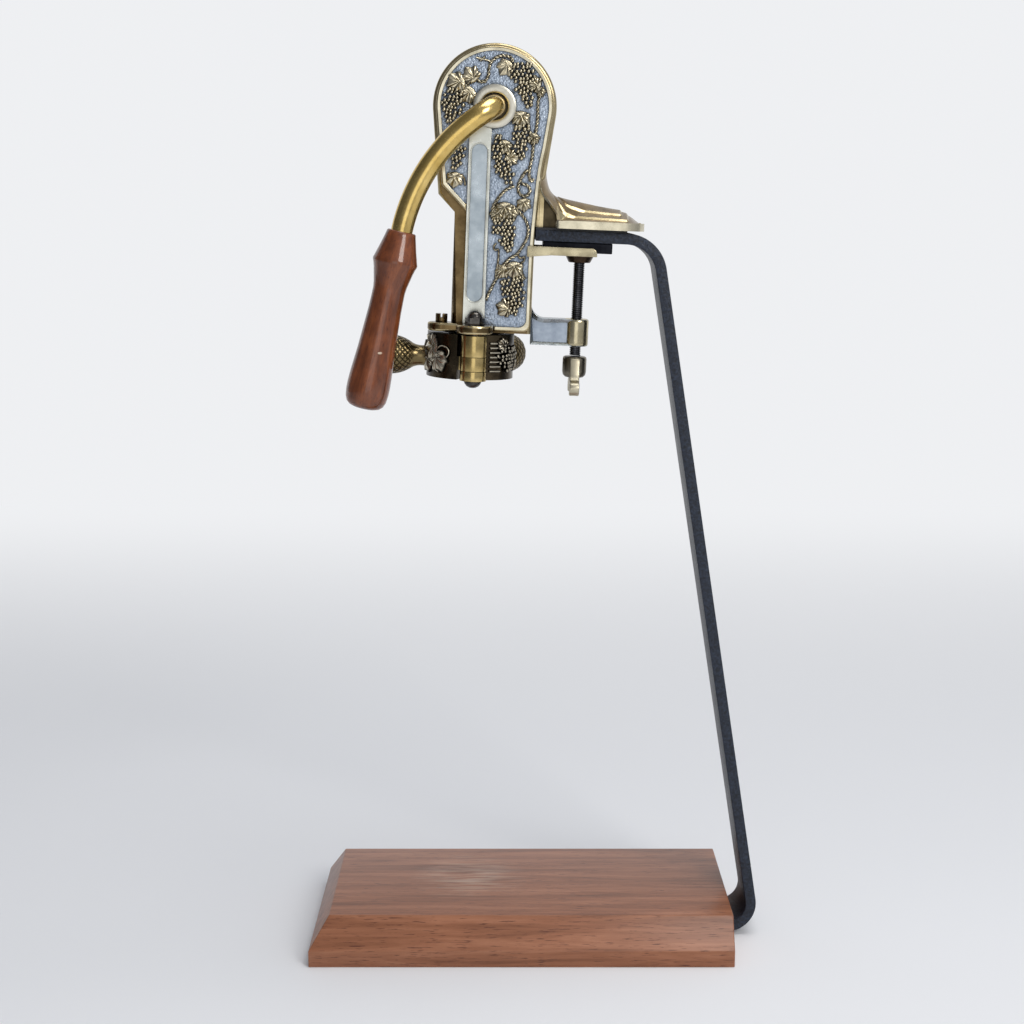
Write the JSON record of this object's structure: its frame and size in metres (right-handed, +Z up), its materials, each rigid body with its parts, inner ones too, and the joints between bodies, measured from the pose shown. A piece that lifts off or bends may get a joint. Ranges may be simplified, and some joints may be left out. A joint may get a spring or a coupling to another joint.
{
  "type": "countertop corkscrew",
  "caption": "Lever wine opener with a grapevine cover, bottle-neck jaws and a screw clamp, on a bent bar stand with a bevelled wooden base.",
  "frame": {"origin": "centre of the wooden base's underside, on the surface that it stands on", "axes": "+Z up; +X to the right of someone who faces the cover, towards the stand's upright; +Y to the back"},
  "size_m": [0.2713, 0.13, 0.5356],
  "materials": {
    "base_wood": "red-brown stain, worn lacquer",
    "stand_coat": "black wrinkle coat",
    "case_bronze": "antique brass, satin",
    "cover_pewter": "antique pewter, hammered",
    "hook_bronze": "antique brass, satin",
    "ring_nickel": "satin nickel",
    "bush_bronze": "sintered bronze",
    "steel": "machined",
    "rubber": "matt",
    "lever_brass": "polished brass",
    "handle_wood": "red-brown stain, gloss lacquer",
    "jaw_bronze": "antique brass, dark recesses",
    "bolt_dark": "darkened steel",
    "shoe_brass": "pale antique brass",
    "cup_bronze": "brown bronze",
    "thread_black": "black oxide thread"
  },
  "bodies": {
    "stand": {"base_board": "base_wood", "stand_arm": "stand_coat", "arm_key": "stand_coat", "foot_screws": "steel", "rear_housing": "case_bronze", "front_cover": "cover_pewter", "cover_screws": "steel", "table_hook": "hook_bronze", "hook_liner": "rubber", "clamp_arm": "cover_pewter", "pivot_ring": "ring_nickel", "rear_bush": "bush_bronze", "guide_rod": "steel", "worm_guide": "bush_bronze", "drive_pin": "steel", "lip_seat": "rubber", "hinge_bolt": "bolt_dark", "acorn_nut": "bolt_dark", "lug_screw": "lever_brass"},
    "lever": {"lever_shaft": "steel", "cam_disc": "steel", "cam_key": "steel", "shaft_clip": "steel", "lever_arm": "lever_brass", "handle_tang": "steel", "wooden_handle": "handle_wood"},
    "slider": {"carriage": "steel", "follower_pin": "steel"},
    "worm_screw": {"worm": "steel", "worm_lock_nut": "steel", "thrust_washer": "bush_bronze"},
    "left_clamp": {"left_jaw": "jaw_bronze", "left_liner": "rubber"},
    "right_clamp": {"right_jaw": "jaw_bronze", "right_liner": "rubber"},
    "shoe": {"clamp_shoe": "shoe_brass", "swivel_cup": "cup_bronze"},
    "thumb_screw": {"clamp_screw": "thread_black", "thumb_wing": "shoe_brass"}
  },
  "joints": [
    {"name": "lever_hinge", "type": "hinge", "parent": "stand", "child": "lever", "pos_m": [-0.0155, 0, 0.50019], "axis": [0, 1, 0], "range_deg": [0, 160]},
    {"name": "carriage_slide", "type": "slide", "parent": "stand", "child": "slider", "axis": [-0.0419, 0, -0.9991], "range_m": [0, 0.0501]},
    {"name": "worm_spin", "type": "hinge", "parent": "slider", "child": "worm_screw", "pos_m": [-0.02718, 0, 0.40059], "axis": [-0.0419, 0, -0.9991], "range_deg": [0, 1801]},
    {"name": "left_jaw_hinge", "type": "hinge", "parent": "stand", "child": "left_clamp", "pos_m": [-0.02794, -0.027, 0.35858], "axis": [0.0419, 0, 0.9991], "range_deg": [-3, 8]},
    {"name": "right_jaw_hinge", "type": "hinge", "parent": "stand", "child": "right_clamp", "pos_m": [-0.02794, -0.027, 0.35858], "axis": [-0.0419, 0, -0.9991], "range_deg": [-3, 6]},
    {"name": "shoe_slide", "type": "slide", "parent": "stand", "child": "shoe", "axis": [-0.0419, 0, -0.9991], "range_m": [0, 0.028]},
    {"name": "screw_turn", "type": "hinge", "parent": "shoe", "child": "thumb_screw", "pos_m": [0.03214, 0, 0.37108], "axis": [-0.0419, 0, -0.9991], "range_deg": [0, 8065]}
  ],
  "couplings": [
    {"joint": "carriage_slide", "follows": "lever_hinge", "m_per_rad": 0.017905},
    {"joint": "worm_spin", "follows": "lever_hinge", "ratio": 11.25},
    {"joint": "screw_turn", "follows": "shoe_slide", "rad_per_m": 5026.5}
  ]
}
